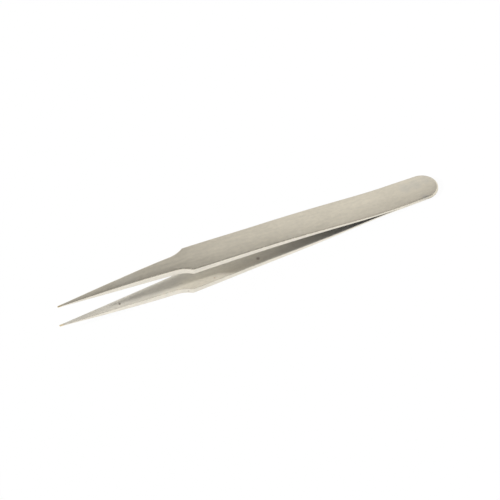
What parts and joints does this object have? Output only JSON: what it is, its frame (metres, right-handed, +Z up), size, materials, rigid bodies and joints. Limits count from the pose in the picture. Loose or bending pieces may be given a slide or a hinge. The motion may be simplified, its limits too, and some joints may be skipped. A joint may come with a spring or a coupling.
{
  "type": "tweezers",
  "caption": "Fine-pointed steel tweezers with flat bowed arms joined at a rounded heel, stepped shoulders and long tapered jaws for handling small delicate parts.",
  "frame": {"origin": "below the middle of the bounding box, on the surface that the tweezers lie on", "axes": "+X along the length from the points to the heel, +Y across the arms, +Z up"},
  "size_m": [0.12, 0.009, 0.0128],
  "materials": {
    "steel": "satin, ground along the length"
  },
  "bodies": {
    "root": {"upper_arm": "steel", "lower_arm": "steel"}
  },
  "joints": []
}
